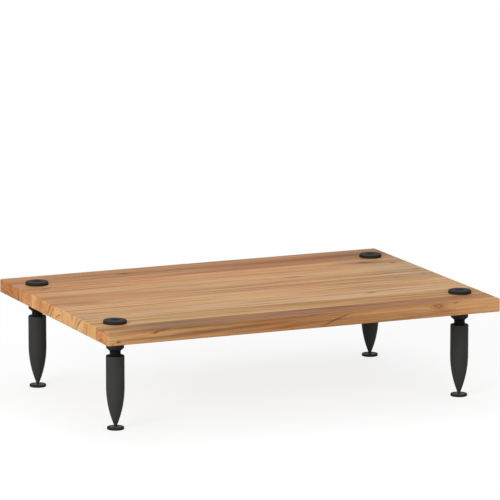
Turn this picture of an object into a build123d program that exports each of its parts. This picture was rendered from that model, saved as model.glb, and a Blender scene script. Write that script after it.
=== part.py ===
"""Low amplifier stand: an edge-glued solid-wood board on four turned metal legs.

+X runs along the board's front edge to the right, +Y to the back and +Z up.
The origin is on the floor, under the middle of the board. Lengths are in millimetres.

Each leg hangs under the board from a clamp: a disc on the board and a collar under it are
drawn together by a stud. The leg screws up and down on the collar's threaded neck, and its
point stands in a loose disc on the floor. Threads are plain cylinders here.
"""

from build123d import *
from math import hypot
import os

# Board: solid staves glued edge to edge, their planned widths listed from the back to the front.
# Each stave also takes an equal share of what those widths leave of the board's depth.
planned_stave_widths = [76.0, 54.0, 62.0, 48.0, 50.0, 40.0, 46.0, 44.0]
board_width = 600.0
board_depth = 420.0
board_thickness = 19.0
board_corner_radius = 3.0
board_edge_radius = 1.5

# Leg axes, measured in from the board's ends and from its front and back edges
leg_inset_from_end = 35.0
leg_inset_from_edge = 60.0

# Disc on the floor, with a conical dimple for the leg's point
floor_disc_diameter = 24.0
floor_disc_thickness = 3.5
floor_disc_edge_radius = 0.8
floor_dimple_diameter = 9.0
floor_dimple_depth = 2.3

# Leg: a straight barrel that runs out in a long ogive nose with a ball point
leg_diameter = 26.0
leg_length = 103.1
leg_nose_length = 59.0
leg_point_radius = 0.6
leg_point_clearance = 0.1
leg_shoulder_radius = 1.0
leg_bore_chamfer = 0.6
leg_bore_end_clearance = 2.0
leg_bore_cone_height = 3.0

# Collar under the board, with the threaded neck on which the leg screws up and down
collar_diameter = 25.0
collar_height = 19.7
collar_taper_height = 3.8
collar_taper_radius = 1.2
collar_rim_chamfer = 0.4
neck_diameter = 16.0
neck_gap = 6.9
neck_engagement = 24.0
neck_end_chamfer = 0.8
neck_key_size = 8.0
neck_key_depth = 8.0
level_travel_up = 5.0

# Clamp stud, screwed home in the disc's boss and free at its end in the collar
clamp_stud_diameter = 8.0
clamp_stud_length = 23.0
clamp_stud_chamfer = 0.6
clamp_key_size = 4.0
clamp_key_depth = 4.0
clamp_end_gap = 1.5

# Disc on the board, with a dished top and a boss in the board's hole
top_disc_diameter = 33.0
top_disc_thickness = 4.5
top_disc_edge_radius = 1.3
top_dish_diameter = 14.0
top_dish_depth = 1.6
boss_diameter = 14.0
boss_end_gap = 3.0
boss_hole_depth = 11.0

# Fits, all on the radius
thread_clearance = 0.05
boss_clearance = 0.2

# How far a cutting solid stands past what it cuts
cut_margin = 5.0

# Heights worked out from the floor up
floor_dimple_bottom = floor_disc_thickness - floor_dimple_depth
leg_point = floor_dimple_bottom + leg_point_clearance
leg_top = leg_point + leg_length
collar_bottom = leg_top + neck_gap
board_bottom = collar_bottom + collar_height
board_top = board_bottom + board_thickness
boss_bottom = board_bottom + boss_end_gap
clamp_stud_top = boss_bottom + boss_hole_depth
clamp_stud_bottom = clamp_stud_top - clamp_stud_length
neck_bottom = leg_top - neck_engagement
leg_bore_bottom = neck_bottom - level_travel_up - leg_bore_end_clearance

# The staves' widths as made
stave_share = (board_depth - sum(planned_stave_widths)) / len(planned_stave_widths)
stave_widths = [width + stave_share for width in planned_stave_widths]

# The four corners, by name, as signs along X and Y
corners = {
    "front_left": (-1, -1),
    "front_right": (1, -1),
    "back_left": (-1, 1),
    "back_right": (1, 1),
}


def corner_place(name):
    """Place of one leg's axis on the floor."""
    side, end = corners[name]
    x = side * (board_width / 2 - leg_inset_from_end)
    y = end * (board_depth / 2 - leg_inset_from_edge)
    return Pos(x, y, 0)


def turned(*outline):
    """Solid of revolution about Z, from the lines of a closed half outline drawn in XZ."""
    return revolve(make_face(Plane.XZ * (Curve() + list(outline))), Axis.Z)


def column(diameter, bottom, top):
    """Round bar about Z between two heights."""
    align = (Align.CENTER, Align.CENTER, Align.MIN)
    return Pos(0, 0, bottom) * Cylinder(diameter / 2, top - bottom, align=align)


def key_socket(size, depth, mouth):
    """Six-sided socket that opens downwards at the height of its mouth; size is across flats."""
    hexagon = Pos(0, 0, mouth - cut_margin) * RegularPolygon(size / 2, 6, major_radius=False)
    return extrude(hexagon, depth + cut_margin)


def board_panel():
    """The whole glued board, with eased edges and the four holes for the bosses."""
    align = (Align.CENTER, Align.CENTER, Align.MIN)
    panel = Box(board_width, board_depth, board_thickness, align=align)
    panel = Pos(0, 0, board_bottom) * panel
    panel = fillet(panel.edges().filter_by(Axis.Z), board_corner_radius)
    faces = panel.faces().sort_by(Axis.Z)
    panel = fillet(faces[0].edges() + faces[-1].edges(), board_edge_radius)
    hole_diameter = boss_diameter + 2 * boss_clearance
    hole = column(hole_diameter, board_bottom - cut_margin, board_top + cut_margin)
    for name in corners:
        panel -= corner_place(name) * hole
    return panel


def staves():
    """The board's staves from the back to the front, cut from the whole panel on its glue lines."""
    panel = board_panel()
    align = (Align.CENTER, Align.MAX, Align.CENTER)
    back = board_depth / 2
    pieces = []
    for width in stave_widths:
        slab = Box(board_width + cut_margin, width, 2 * (board_top + cut_margin), align=align)
        pieces.append(panel & Pos(0, back, 0) * slab)
        back -= width
    return pieces


def top_disc():
    """Disc that lies on the board, with a spherical dish, and a boss with a blind threaded hole."""
    top = board_top + top_disc_thickness
    radius = top_disc_diameter / 2
    boss_radius = boss_diameter / 2
    hole_radius = clamp_stud_diameter / 2 + thread_clearance
    dish_radius = top_dish_diameter / 2
    dish_bottom = top - top_dish_depth
    rim_centre = (radius - top_disc_edge_radius, top - top_disc_edge_radius)
    return turned(
        Polyline(
            (0, dish_bottom),
            (0, clamp_stud_top),
            (hole_radius, clamp_stud_top),
            (hole_radius, boss_bottom),
            (boss_radius, boss_bottom),
            (boss_radius, board_top),
            (radius, board_top),
            (radius, top - top_disc_edge_radius),
        ),
        CenterArc(rim_centre, top_disc_edge_radius, 0, 90),
        Line((radius - top_disc_edge_radius, top), (dish_radius, top)),
        TangentArc((0, dish_bottom), (dish_radius, top), tangent=(1, 0)),
    )


def clamp_stud():
    """Headless stud that draws the disc and the collar together through the board."""
    stud = column(clamp_stud_diameter, clamp_stud_bottom, clamp_stud_top)
    stud = chamfer(stud.edges().filter_by(GeomType.CIRCLE), clamp_stud_chamfer)
    return stud - key_socket(clamp_key_size, clamp_key_depth, clamp_stud_bottom)


def collar():
    """Collar with a blind threaded hole for the stud and, below a rounded taper, the neck."""
    radius = collar_diameter / 2
    neck_radius = neck_diameter / 2
    hole_radius = clamp_stud_diameter / 2 + thread_clearance
    hole_bottom = clamp_stud_bottom - clamp_end_gap
    body = turned(
        Polyline(
            (0, hole_bottom),
            (hole_radius, hole_bottom),
            (hole_radius, board_bottom),
            (radius - collar_rim_chamfer, board_bottom),
            (radius, board_bottom - collar_rim_chamfer),
            (radius, collar_bottom + collar_taper_height),
            (neck_radius, collar_bottom),
            (neck_radius, neck_bottom + neck_end_chamfer),
            (neck_radius - neck_end_chamfer, neck_bottom),
            (0, neck_bottom),
            close=True,
        )
    )
    widest = body.edges().filter_by(GeomType.CIRCLE).group_by(SortBy.RADIUS)[-1]
    body = fillet(widest.sort_by(Axis.Z)[0], collar_taper_radius)
    return body - key_socket(neck_key_size, neck_key_depth, neck_bottom)


def leg():
    """Turned leg: a barrel with a blind bore in its top, and a nose that ends in a ball point.

    The nose is one arc, tangent to the barrel above it and to the ball below it.
    """
    radius = leg_diameter / 2
    bore_radius = neck_diameter / 2 + thread_clearance
    nose_top = leg_point + leg_nose_length
    ball_height = leg_point + leg_point_radius
    rim_centre = (radius - leg_shoulder_radius, leg_top - leg_shoulder_radius)

    drop = nose_top - ball_height
    nose_radius = (drop**2 + radius**2 - leg_point_radius**2) / (2 * (radius - leg_point_radius))
    centre_x = radius - nose_radius
    reach = nose_radius / hypot(centre_x, drop)
    touch = (centre_x - centre_x * reach, nose_top - drop * reach)

    return turned(
        Polyline(
            (0, leg_point),
            (0, leg_bore_bottom - leg_bore_cone_height),
            (bore_radius, leg_bore_bottom),
            (bore_radius, leg_top - leg_bore_chamfer),
            (bore_radius + leg_bore_chamfer, leg_top),
            (radius - leg_shoulder_radius, leg_top),
        ),
        CenterArc(rim_centre, leg_shoulder_radius, 0, 90),
        Line((radius, leg_top - leg_shoulder_radius), (radius, nose_top)),
        TangentArc((radius, nose_top), touch, tangent=(0, -1)),
        TangentArc((0, leg_point), touch, tangent=(1, 0)),
    )


def floor_disc():
    """Loose disc on the floor, with a rounded rim and a conical dimple."""
    radius = floor_disc_diameter / 2
    top = floor_disc_thickness
    rim_centre = (radius - floor_disc_edge_radius, top - floor_disc_edge_radius)
    return turned(
        Polyline((0, 0), (radius, 0), (radius, top - floor_disc_edge_radius)),
        CenterArc(rim_centre, floor_disc_edge_radius, 0, 90),
        Polyline(
            (radius - floor_disc_edge_radius, top),
            (floor_dimple_diameter / 2, top),
            (0, floor_dimple_bottom),
            (0, 0),
        ),
    )


def main():
    """Writes one STEP file for each piece of the stand."""
    os.makedirs("parts", exist_ok=True)
    pieces = {f"board_stave_{i}": stave for i, stave in enumerate(staves(), start=1)}
    hardware = {
        "top_disc": top_disc(),
        "clamp_stud": clamp_stud(),
        "collar": collar(),
        "leg": leg(),
        "floor_disc": floor_disc(),
    }
    for corner in corners:
        for kind, piece in hardware.items():
            pieces[f"{kind}_{corner}"] = corner_place(corner) * piece
    for name, piece in pieces.items():
        export_step(piece, f"parts/{name}.step")


main()
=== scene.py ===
"""Visual model of a low amplifier stand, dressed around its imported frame.

The frame holds the stand's pieces at their real size. This script models a finished copy of
each piece in the same place: eight oiled solid-wood staves glued into one board, and at each
corner a dished disc, a clamp stud, a collar with a threaded neck, a turned leg and a floor
disc. Lengths are in metres, +X runs along the front edge to the right, +Y to the back, +Z up.
"""

from __future__ import annotations

import logging
import math
from collections.abc import Callable, Sequence
from dataclasses import dataclass, field
from enum import Enum

import bmesh
import bpy
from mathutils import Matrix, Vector

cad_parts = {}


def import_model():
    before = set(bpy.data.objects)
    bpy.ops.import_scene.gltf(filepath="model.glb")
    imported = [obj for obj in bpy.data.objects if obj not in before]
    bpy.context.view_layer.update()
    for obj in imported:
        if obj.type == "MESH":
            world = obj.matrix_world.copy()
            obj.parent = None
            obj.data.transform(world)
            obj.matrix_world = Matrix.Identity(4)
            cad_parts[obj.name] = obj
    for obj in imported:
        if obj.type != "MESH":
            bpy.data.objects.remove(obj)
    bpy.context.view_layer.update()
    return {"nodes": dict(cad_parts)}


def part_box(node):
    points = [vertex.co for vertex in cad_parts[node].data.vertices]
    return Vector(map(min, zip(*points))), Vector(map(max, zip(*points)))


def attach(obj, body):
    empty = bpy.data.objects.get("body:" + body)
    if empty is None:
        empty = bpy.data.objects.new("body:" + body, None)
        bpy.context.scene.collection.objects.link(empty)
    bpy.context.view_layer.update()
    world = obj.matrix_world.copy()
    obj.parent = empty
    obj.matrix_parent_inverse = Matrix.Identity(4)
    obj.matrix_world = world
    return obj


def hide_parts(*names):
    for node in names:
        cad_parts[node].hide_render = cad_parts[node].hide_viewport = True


log = logging.getLogger("amplifier_stand")

MM = 0.001
TOUCH = 0.01 * MM

Point = tuple[float, float]
Colour = tuple[float, float, float]
Socket = bpy.types.NodeSocket

BLACK: Colour = (0.0, 0.0, 0.0)
MIDDLE_GREY: Colour = (0.5, 0.5, 0.5)
WHITE: Colour = (1.0, 1.0, 1.0)

# Settings of the noises whose grains have ragged edges
RAGGED = {"detail": 3, "roughness": 0.6}


class Corner(Enum):
    """The stand's four corners, named as the frame names them."""

    FRONT_LEFT = "front_left"
    FRONT_RIGHT = "front_right"
    BACK_LEFT = "back_left"
    BACK_RIGHT = "back_right"


class Body(Enum):
    """What a piece moves with."""

    BOARD = "board"
    LEG = "leg"
    FLOOR_DISC = "floor_disc"

    def at(self, corner: Corner) -> str:
        """Name of this body in the frame, at one corner."""
        return self.value if self is Body.BOARD else f"{self.value}_{corner.value}"


class Slot(Enum):
    """Material slots of the record."""

    WOOD = "board_wood"
    METAL = "black_metal"
    STEEL = "stud_steel"


def srgb(red: int, green: int, blue: int) -> Colour:
    """Turns a colour as a screen shows it into linear light.

    Args:
        red: Red channel, from 0 to 255.
        green: Green channel.
        blue: Blue channel.

    Returns:
        The three channels, from 0 to 1.
    """
    channels = (value / 255 for value in (red, green, blue))
    linear = (c / 12.92 if c <= 0.04045 else ((c + 0.055) / 1.055) ** 2.4 for c in channels)
    return tuple(linear)


@dataclass(frozen=True)
class NodeBox:
    """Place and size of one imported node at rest.

    Attributes:
        low: Lowest corner of the node's box.
        high: Highest corner of the node's box.
    """

    low: Vector
    high: Vector

    @classmethod
    def of(cls, node: str) -> NodeBox:
        """Reads the box of a node from the frame."""
        return cls(*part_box(node))

    @property
    def centre(self) -> Vector:
        """Middle of the box."""
        return (self.low + self.high) / 2

    @property
    def axis(self) -> Vector:
        """Place on the floor of an upright turned node's axis."""
        return Vector((self.centre.x, self.centre.y, 0))

    @property
    def radius(self) -> float:
        """Outer radius of an upright turned node."""
        return (self.high.x - self.low.x) / 2

    @property
    def bottom(self) -> float:
        """Height of the lowest point."""
        return self.low.z

    @property
    def top(self) -> float:
        """Height of the highest point."""
        return self.high.z


@dataclass
class Outline:
    """Half outline of a turned piece, as points of radius and height in metres.

    Attributes:
        points: The points so far, from one end of the outline to the other.
    """

    points: list[Point] = field(default_factory=list)

    def to(self, *points: Point) -> Outline:
        """Adds straight runs to the given points.

        Args:
            *points: Radius and height of each point.

        Returns:
            This outline, so that calls can follow each other.
        """
        self.points.extend(points)
        return self

    def arc(self, centre: Point, radius: float, start: float, end: float, steps: int) -> Outline:
        """Adds an arc.

        Args:
            centre: Radius and height of the arc's centre.
            radius: Radius of the arc.
            start: Angle of its first point in degrees, from straight outwards towards up.
            end: Angle of its last point.
            steps: How many straight runs the arc is made of.

        Returns:
            This outline.
        """
        for step in range(steps + 1):
            angle = math.radians(start + (end - start) * step / steps)
            point = (centre[0] + radius * math.cos(angle), centre[1] + radius * math.sin(angle))
            self.points.append(point)
        return self


class Bench:
    """Modelling steps, each made with Blender's own operators on one active object."""

    TURN_STEPS = 96
    SMOOTH_ANGLE = math.radians(32)

    @staticmethod
    def clear() -> None:
        """Deselects everything, so that the next operator acts on new geometry alone."""
        bpy.ops.object.select_all(action="DESELECT")

    @staticmethod
    def activate(obj: bpy.types.Object) -> None:
        """Makes one object the only selected and active one.

        Args:
            obj: The object.
        """
        Bench.clear()
        obj.select_set(True)
        bpy.context.view_layer.objects.active = obj

    @staticmethod
    def edit(obj: bpy.types.Object, *steps: Callable[[], object]) -> None:
        """Runs edit-mode steps on one object.

        Args:
            obj: The object to edit. All of it is selected when the first step starts.
            *steps: Calls to make in edit mode, in order.
        """
        Bench.activate(obj)
        bpy.ops.object.mode_set(mode="EDIT")
        bpy.ops.mesh.select_mode(type="VERT")
        bpy.ops.mesh.select_all(action="SELECT")
        for step in steps:
            step()
        bpy.ops.object.mode_set(mode="OBJECT")

    @staticmethod
    def pick_edges(obj: bpy.types.Object, wanted: Callable[[Vector, Vector], bool]) -> None:
        """Selects, in edit mode, the edges whose two ends pass a test.

        Args:
            obj: The object in edit mode.
            wanted: Test of an edge's two end points.
        """
        bpy.ops.mesh.select_mode(type="EDGE")
        bpy.ops.mesh.select_all(action="DESELECT")
        mesh = bmesh.from_edit_mesh(obj.data)
        for edge in mesh.edges:
            edge.select = wanted(edge.verts[0].co, edge.verts[1].co)
        mesh.select_flush_mode()
        bmesh.update_edit_mesh(obj.data)

    @staticmethod
    def chain(name: str, points: Sequence[Point]) -> bpy.types.Object:
        """Draws a chain of edges in the XZ plane, extruded from point to point.

        Args:
            name: Name of the new object.
            points: Distance from the Z axis, and height, of each point.

        Returns:
            The new object, at the origin.
        """
        Bench.clear()
        bpy.ops.mesh.primitive_plane_add(size=MM)
        obj = bpy.context.object
        obj.name = obj.data.name = name
        bpy.ops.object.mode_set(mode="EDIT")
        bpy.ops.mesh.select_mode(type="VERT")
        bpy.ops.mesh.select_all(action="SELECT")
        bpy.ops.mesh.merge(type="CENTER")
        bpy.ops.transform.translate(value=(points[0][0], 0, points[0][1]))
        for (r0, z0), (r1, z1) in zip(points, points[1:]):
            move = {"value": (r1 - r0, 0, z1 - z0)}
            bpy.ops.mesh.extrude_vertices_move(TRANSFORM_OT_translate=move)
        bpy.ops.object.mode_set(mode="OBJECT")
        return obj

    @staticmethod
    def turn(name: str, outline: Outline) -> bpy.types.Object:
        """Turns an outline into a closed solid about the Z axis.

        Args:
            name: Name of the new object.
            outline: Half outline, which starts and ends on the axis or closes on itself.

        Returns:
            The new object, at the origin.
        """
        obj = Bench.chain(name, outline.points)
        Bench.edit(
            obj,
            lambda: bpy.ops.mesh.spin(
                steps=Bench.TURN_STEPS, angle=math.tau, center=(0, 0, 0), axis=(0, 0, 1)
            ),
            lambda: bpy.ops.mesh.select_all(action="SELECT"),
            lambda: bpy.ops.mesh.remove_doubles(threshold=TOUCH / 4),
            lambda: bpy.ops.mesh.normals_make_consistent(inside=False),
        )
        return obj

    @staticmethod
    def block(name: str, low: Vector, high: Vector) -> bpy.types.Object:
        """Adds a block between two corners.

        Args:
            name: Name of the new object.
            low: Its lowest corner.
            high: Its highest corner.

        Returns:
            The new object, at the origin, with its place in its mesh.
        """
        Bench.clear()
        bpy.ops.mesh.primitive_cube_add(size=1, location=(low + high) / 2, scale=high - low)
        bpy.ops.object.transform_apply(location=True, rotation=True, scale=True)
        obj = bpy.context.object
        obj.name = obj.data.name = name
        return obj

    @staticmethod
    def ease(
        obj: bpy.types.Object, wanted: Callable[[Vector, Vector], bool], width: float, steps: int
    ) -> None:
        """Rounds the edges that pass a test.

        Args:
            obj: The object to work on.
            wanted: Test of an edge's two end points.
            width: Radius of the rounding.
            steps: How many facets the rounding has.
        """
        Bench.edit(
            obj,
            lambda: Bench.pick_edges(obj, wanted),
            lambda: bpy.ops.mesh.bevel(offset=width, segments=steps, profile=0.5, affect="EDGES"),
        )

    @staticmethod
    def trim(obj: bpy.types.Object, height: float, keep_above: bool) -> None:
        """Cuts an object level at a height, closes the cut and drops the other side.

        Args:
            obj: The object to cut.
            height: Height of the cut.
            keep_above: Whether the upper side is the one that stays.
        """
        Bench.edit(
            obj,
            lambda: bpy.ops.mesh.bisect(
                plane_co=(0, 0, height),
                plane_no=(0, 0, 1),
                use_fill=True,
                clear_inner=keep_above,
                clear_outer=not keep_above,
            ),
            lambda: bpy.ops.mesh.select_all(action="SELECT"),
            lambda: bpy.ops.mesh.normals_make_consistent(inside=False),
        )

    @staticmethod
    def combine(obj: bpy.types.Object, tool: bpy.types.Object, operation: str) -> None:
        """Joins, cuts or intersects an object with a tool, which is used up.

        Args:
            obj: The object that stays.
            tool: The object to combine it with.
            operation: UNION, DIFFERENCE or INTERSECT.
        """
        Bench.activate(obj)
        modifier = obj.modifiers.new("combine", "BOOLEAN")
        modifier.operation = operation
        modifier.solver = "EXACT"
        modifier.object = tool
        bpy.ops.object.modifier_apply(modifier=modifier.name)
        bpy.data.objects.remove(tool)

    @staticmethod
    def smooth(obj: bpy.types.Object) -> None:
        """Shades an object smooth, with flat faces kept flat beside their rounded edges.

        Args:
            obj: The object.
        """
        Bench.activate(obj)
        bpy.ops.object.shade_smooth_by_angle(angle=Bench.SMOOTH_ANGLE)
        modifier = obj.modifiers.new("even_normals", "WEIGHTED_NORMAL")
        modifier.keep_sharp = True
        bpy.ops.object.modifier_apply(modifier=modifier.name)

    @staticmethod
    def copy_to(obj: bpy.types.Object, name: str, place: Vector) -> bpy.types.Object:
        """Copies an object with its own mesh, and moves the copy's mesh.

        Args:
            obj: The object to copy, modelled about the origin's Z axis.
            name: Name of the copy.
            place: How far the copy's mesh is moved.

        Returns:
            The copy, at the origin.
        """
        Bench.activate(obj)
        bpy.ops.object.duplicate()
        copy = bpy.context.object
        copy.name = copy.data.name = name
        Bench.edit(copy, lambda: bpy.ops.transform.translate(value=place))
        return copy


class Sheet:
    """A node tree while it is drawn: it adds nodes, joins them and hands back output sockets."""

    def __init__(self, tree: bpy.types.NodeTree) -> None:
        """Starts on an empty tree."""
        self.tree = tree

    @classmethod
    def of_group(cls, name: str, inputs: dict[str, object], outputs: dict[str, str]) -> Sheet:
        """Starts a node group.

        Args:
            name: Name of the group.
            inputs: For each input, its first value, or None for a vector.
            outputs: For each output, its socket type.

        Returns:
            A sheet whose attributes `given` and `result` hold the group's own sockets.
        """
        tree = bpy.data.node_groups.new(name, "ShaderNodeTree")
        for label, value in inputs.items():
            kind = "NodeSocketFloat"
            if value is None or isinstance(value, Vector):
                kind = "NodeSocketVector"
            elif isinstance(value, tuple):
                kind = "NodeSocketColor"
            socket = tree.interface.new_socket(label, in_out="INPUT", socket_type=kind)
            if isinstance(value, tuple):
                socket.default_value = (*value, 1)
            elif value is not None:
                socket.default_value = value
        for label, kind in outputs.items():
            tree.interface.new_socket(label, in_out="OUTPUT", socket_type=kind)
        sheet = cls(tree)
        sheet.given = sheet.node("NodeGroupInput").outputs
        sheet.result = sheet.node("NodeGroupOutput").inputs
        return sheet

    @classmethod
    def of_material(cls, name: str) -> tuple[Sheet, bpy.types.Material, bpy.types.Node]:
        """Starts a material that holds one Principled shader.

        Args:
            name: Name of the material.

        Returns:
            The sheet, the material and its Principled shader.
        """
        material = bpy.data.materials.new(name)
        material.use_nodes = True
        material.node_tree.nodes.clear()
        sheet = cls(material.node_tree)
        shader = sheet.node("ShaderNodeBsdfPrincipled")
        output = sheet.node("ShaderNodeOutputMaterial")
        sheet.join(shader.outputs["BSDF"], output.inputs["Surface"])
        return sheet, material, shader

    def join(self, value: object, socket: Socket) -> None:
        """Links a socket to another, or sets it to a plain value.

        Args:
            value: An output socket, a colour, a vector or a number.
            socket: The input socket.
        """
        if isinstance(value, bpy.types.NodeSocket):
            self.tree.links.new(value, socket)
        elif isinstance(value, tuple) and socket.type == "RGBA":
            socket.default_value = (*value, 1)
        else:
            socket.default_value = value

    def node(self, kind: str, *values: object, **settings: object) -> bpy.types.Node:
        """Adds a node.

        Args:
            kind: Blender's name of the node's type.
            *values: Sockets or values for its first inputs; None leaves one as it is.
            **settings: Properties of the node.

        Returns:
            The new node.
        """
        node = self.tree.nodes.new(kind)
        for key, value in settings.items():
            setattr(node, key, value)
        for value, socket in zip(values, node.inputs):
            if value is not None:
                self.join(value, socket)
        return node

    def math(self, operation: str, *values: object, clamp: bool = False) -> Socket:
        """Works out one number from others."""
        node = self.node("ShaderNodeMath", *values, operation=operation, use_clamp=clamp)
        return node.outputs["Value"]

    def vector(self, operation: str, *values: object) -> Socket:
        """Works out one vector, or one number, from others.

        Args:
            operation: Blender's name of the operation.
            *values: Its vectors or, for a scale, a vector and a number.

        Returns:
            The socket with the result.
        """
        node = self.node("ShaderNodeVectorMath", operation=operation)
        for value, socket in zip(values, (s for s in node.inputs if s.enabled)):
            self.join(value, socket)
        return next(s for s in node.outputs if s.enabled)

    def noise(
        self, place: Socket, stretch: Colour, detail: float = 2, roughness: float = 0.5
    ) -> bpy.types.Node:
        """Adds a noise whose grains are stretched.

        Args:
            place: Where the noise is read.
            stretch: Grains per metre along X, Y and Z.
            detail: How many finer layers it has.
            roughness: How strong those layers are.

        Returns:
            The noise node.
        """
        spread = self.vector("MULTIPLY", place, stretch)
        node = self.node("ShaderNodeTexNoise", noise_dimensions="3D")
        self.join(spread, node.inputs["Vector"])
        for label, value in (("Scale", 1.0), ("Detail", detail), ("Roughness", roughness)):
            self.join(value, node.inputs[label])
        return node

    def fit(self, value: Socket, low: float, high: float, start: float = 0, end: float = 1) -> Socket:
        """Eases a number from one range into another, and holds it there.

        Args:
            value: The number.
            low: Where the first range starts.
            high: Where it ends.
            start: Where the second range starts.
            end: Where it ends.

        Returns:
            The socket with the result.
        """
        node = self.node("ShaderNodeMapRange", value, low, high, start, end)
        node.interpolation_type = "SMOOTHSTEP"
        return node.outputs["Result"]

    def mix(self, share: object, first: object, second: object, blend: str = "MIX") -> Socket:
        """Mixes two colours.

        Args:
            share: Share of the second colour.
            first: The first colour.
            second: The second colour.
            blend: Blender's name of the way they mix.

        Returns:
            The socket with the mixed colour.
        """
        node = self.node("ShaderNodeMix", data_type="RGBA", blend_type=blend)
        sockets = [s for s in node.inputs if s.enabled]
        for value, socket in zip((share, first, second), sockets):
            self.join(value, socket)
        return next(s for s in node.outputs if s.enabled)

    def ramp(self, value: Socket, stops: Sequence[Point]) -> Socket:
        """Sends a number through grey stops.

        Args:
            value: The number.
            stops: For each stop, its place from 0 to 1 and its level.

        Returns:
            The socket with the level.
        """
        node = self.node("ShaderNodeValToRGB", value)
        elements = node.color_ramp.elements
        for place, _ in stops[2:]:
            elements.new(place)
        for element, (place, level) in zip(elements, stops):
            element.position = place
            element.color = (level, level, level, 1)
        return node.outputs["Color"]

    def place(self, group: bpy.types.NodeTree, **values: object) -> bpy.types.Node:
        """Adds a node group.

        Args:
            group: The group.
            **values: Its inputs, with the words of a name joined by underscores.

        Returns:
            The group's node.
        """
        node = self.node("ShaderNodeGroup", node_tree=group)
        for label, value in values.items():
            self.join(value, node.inputs[label.replace("_", " ").title()])
        return node


# Grains per metre, and share of the trunk's bend, of the waves in its axis
TRUNK_WAVES = (((1.3, 7, 7), 1.0), ((7, 45, 45), 0.16), ((26, 260, 260), 0.03))

# How rings of one trunk drift from even widths: waves per ring, and rings of drift
RING_DRIFT_RATE = 0.35
RING_DRIFT = 3.0

# Depth of colour through one year's ring, as places in the year and levels
SEASON_STOPS = ((0.0, 0.3), (0.05, 0.0), (0.5, 0.12), (0.82, 0.55), (0.95, 1.0), (1.0, 0.3))

# Place in the year at which early wood ends, and strength of the palest year's ring
EARLY_WOOD_END = 0.45
PALEST_YEAR = 0.25

# How rings fade along the trunk
FADE_GRAIN = (5, 40, 40)
FADE_BAND = (0.35, 0.65, 0.35, 1.0)

# What end grain adds to the rings' contrast, and takes from streaks and fibres
END_CONTRAST = 0.6
END_CALM = -0.75

# Grains per metre of the figure's noises, along, across and above the trunk's axis
PATCH_GRAIN = (1.8, 16, 16)
STREAK_GRAIN = (3.5, 170, 170)
MINERAL_GRAIN = (2.55, 102, 102)
FIBRE_GRAIN = (15, 850, 850)
PORE_GRAIN = (80, 2600, 2600)
RAY_GRAIN = (60, 90, 130)

# Levels of noise between which broad patches, and pores of both kinds, appear
PATCH_BAND = (0.42, 0.68)
OPEN_PORE_BAND = (0.6, 0.7)
CLOSED_PORE_BAND = (0.68, 0.76, 0, 0.4)
PORE_TINT = (0.42, 0.34, 0.28)
PORE_SHARE = 0.6

# Roughness across the streaks, and what pores and end grain add to it
STREAK_ROUGHNESS = (0.3, 0.7, 0.5, 0.6)
PORE_ROUGHNESS = 0.2
END_ROUGHNESS = 0.12

# How far pores, fibres and late wood rise, as shares of the grain's depth
PORE_RISE = -0.8
FIBRE_RISE = -0.4
LATE_WOOD_RISE = 0.25


@dataclass(frozen=True)
class Figure:
    """A layer of the wood's figure, which tints the wood where its noise is strong.

    Attributes:
        tint: What multiplies the wood's colour.
        start: Level of the noise at which the tint starts.
        full: Level at which it is at its full share.
        share: That share.
    """

    tint: Colour
    start: float
    full: float
    share: float

    def over(self, sheet: Sheet, level: Socket) -> Socket:
        """Gives the tint's share at a level of the noise."""
        return sheet.fit(level, self.start, self.full, 0, self.share)


DARK_STREAK = Figure((0.58, 0.5, 0.44), 0.49, 0.7, 0.9)
PALE_STREAK = Figure((1.22, 1.16, 1.08), 0.48, 0.3, 0.5)
STAIN = Figure((0.62, 0.56, 0.54), 0.6, 0.75, 0.7)
FIBRE = Figure((0.68, 0.6, 0.52), 0.42, 0.7, 0.6)
RAY = Figure((1.2, 1.14, 1.05), 0.56, 0.72, 0.45)


def bent_place(sheet: Sheet, place: Socket) -> bpy.types.Node:
    """Lets the trunk's axis wander in slow, middle and fine waves.

    Args:
        sheet: The wood's node tree.
        place: Seeded place in the trunk.

    Returns:
        A node with the X, Y and Z of the bent place.
    """
    moves = []
    for stretch, share in TRUNK_WAVES:
        noise = sheet.noise(place, stretch).outputs["Color"]
        middle = sheet.vector("SUBTRACT", noise, MIDDLE_GREY)
        moves.append(sheet.vector("MULTIPLY", middle, (0, share, share)))
    move = sheet.vector("ADD", sheet.vector("ADD", moves[0], moves[1]), moves[2])
    move = sheet.vector("SCALE", move, sheet.given["Bend"])
    return sheet.node("ShaderNodeSeparateXYZ", sheet.vector("ADD", sheet.given["Vector"], move))


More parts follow.
